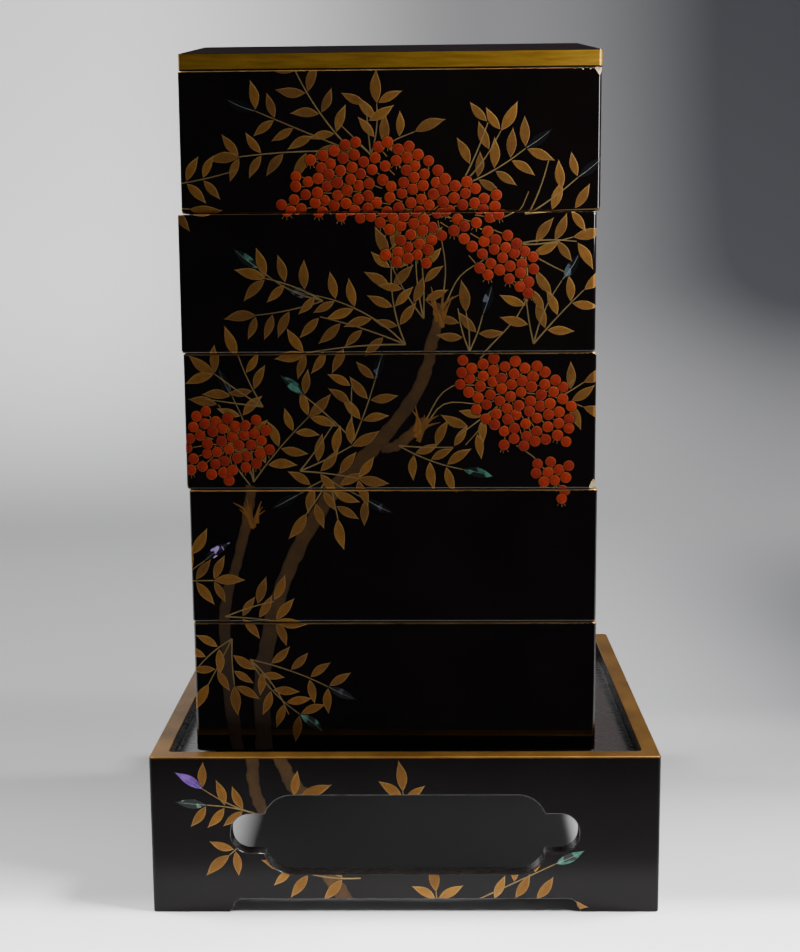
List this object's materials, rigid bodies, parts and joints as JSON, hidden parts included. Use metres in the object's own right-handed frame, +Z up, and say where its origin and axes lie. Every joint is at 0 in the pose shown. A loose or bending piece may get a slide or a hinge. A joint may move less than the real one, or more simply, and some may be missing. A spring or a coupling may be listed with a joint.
{
  "type": "tiered lacquer box",
  "caption": "Tall tiered lacquer food box: square-cornered trays stacked under a flat lid on a low openwork stand, with painted nandina branches.",
  "frame": {"origin": "on the ground, under the middle of the stand", "axes": "+Z up the stack, -Y towards the painted front, +X to the right seen from the front"},
  "size_m": [0.285, 0.2696, 0.4788],
  "materials": {
    "stand": "black lacquer with gold, red and shell painting",
    "tier_5": "black lacquer with gold, red and shell painting",
    "tier_4": "black lacquer with gold, red and shell painting",
    "tier_3": "black lacquer with gold, red and shell painting",
    "tier_2": "black lacquer with gold, red and shell painting",
    "tier_1": "black lacquer with gold, red and shell painting",
    "lid": "black lacquer with gold, red and shell painting"
  },
  "bodies": {
    "root": {"stand": "stand", "tier_5": "tier_5", "tier_4": "tier_4", "tier_3": "tier_3", "tier_2": "tier_2", "tier_1": "tier_1", "lid": "lid"}
  },
  "joints": []
}
